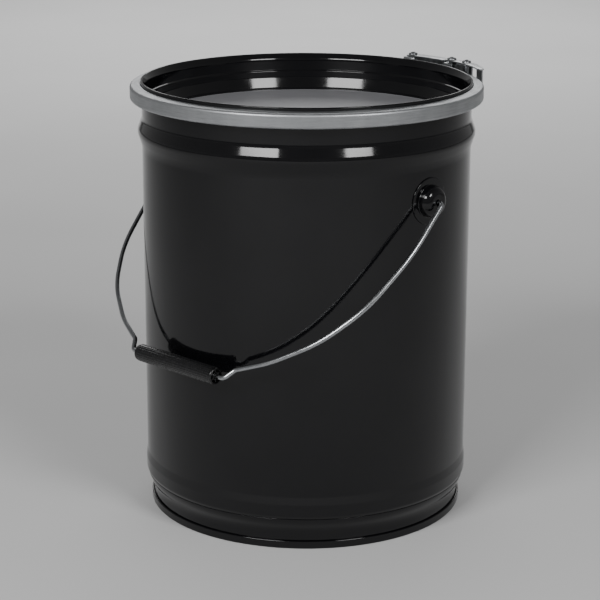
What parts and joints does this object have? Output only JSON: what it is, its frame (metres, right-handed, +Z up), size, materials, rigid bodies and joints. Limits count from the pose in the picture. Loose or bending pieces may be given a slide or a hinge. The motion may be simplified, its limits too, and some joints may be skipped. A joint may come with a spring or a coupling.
{
  "type": "lever-lock pail",
  "caption": "Cylindrical open-head steel pail with plug cover, lever-lock closing band, round bail ears and a wire bail with a plastic grip.",
  "frame": {"origin": "centre of the pail on the plane that its bottom chime stands on", "axes": "+Z up along the pail's axis; the bail ears lie on +X and -X, the bail rests towards -Y, the closing lever is near +Y"},
  "size_m": [0.3248, 0.3287, 0.3868],
  "materials": {
    "black_paint": "semi-gloss black enamel over rolled steel",
    "cover_paint": "gloss black enamel over pressed steel",
    "sealing_compound": "cured seam compound",
    "gasket_rubber": "foamed sealing ring",
    "band_steel": "zinc plated, dull",
    "lock_steel": "zinc plated, dull",
    "rivet_steel": "formed rivet, dull",
    "wire_steel": "bright galvanised drawn wire",
    "grip_plastic": "moulded, finely ribbed"
  },
  "bodies": {
    "pail": {"body_shell": "black_paint", "bottom_end": "black_paint", "seam_compound": "sealing_compound", "ear_right": "black_paint", "ear_left": "black_paint"},
    "lid": {"cover": "cover_paint", "cover_gasket": "gasket_rubber"},
    "band": {"closing_band": "band_steel", "lever_lug": "lock_steel", "fulcrum_rivet": "rivet_steel"},
    "lever": {"lever": "lock_steel", "knee_rivet": "rivet_steel"},
    "link": {"link": "lock_steel"},
    "link_lug": {"link_lug": "lock_steel", "link_lug_rivet": "rivet_steel"},
    "bail": {"bail_wire": "wire_steel"},
    "grip": {"bail_grip": "grip_plastic"}
  },
  "joints": [
    {"name": "bail_swing", "type": "hinge", "parent": "pail", "child": "bail", "pos_m": [0, 0, 0.2955], "axis": [-1, 0, 0], "range_deg": [0, 264]},
    {"name": "grip_spin", "type": "hinge", "parent": "bail", "child": "grip", "pos_m": [0, -0.15482, 0.15585], "axis": [1, 0, 0], "continuous": true},
    {"name": "cover_lift", "type": "slide", "parent": "pail", "child": "lid", "axis": [0, 0, 1], "range_m": [0, 0.12]},
    {"name": "band_lift", "type": "slide", "parent": "pail", "child": "band", "axis": [0, 0, 1], "range_m": [0, 0.1]},
    {"name": "lever_swing", "type": "hinge", "parent": "band", "child": "lever", "pos_m": [0.03289, 0.15474, 0.3714], "axis": [0, 0, 1], "range_deg": [0, 115], "deforming": ["closing_band"]},
    {"name": "knee_swing", "type": "hinge", "parent": "lever", "child": "link", "pos_m": [0.05305, 0.15148, 0.3714], "axis": [0, 0, 1], "range_deg": [-92.95, 0]},
    {"name": "link_lug_swing", "type": "hinge", "parent": "link", "child": "link_lug", "pos_m": [-0.01817, 0.15947, 0.3714], "axis": [0, 0, 1], "range_deg": [-13.6, 0]}
  ],
  "couplings": [
    {"joint": "knee_swing", "follows": "lever_swing", "ratio": -0.80784},
    {"joint": "link_lug_swing", "follows": "lever_swing", "ratio": -0.11786}
  ]
}
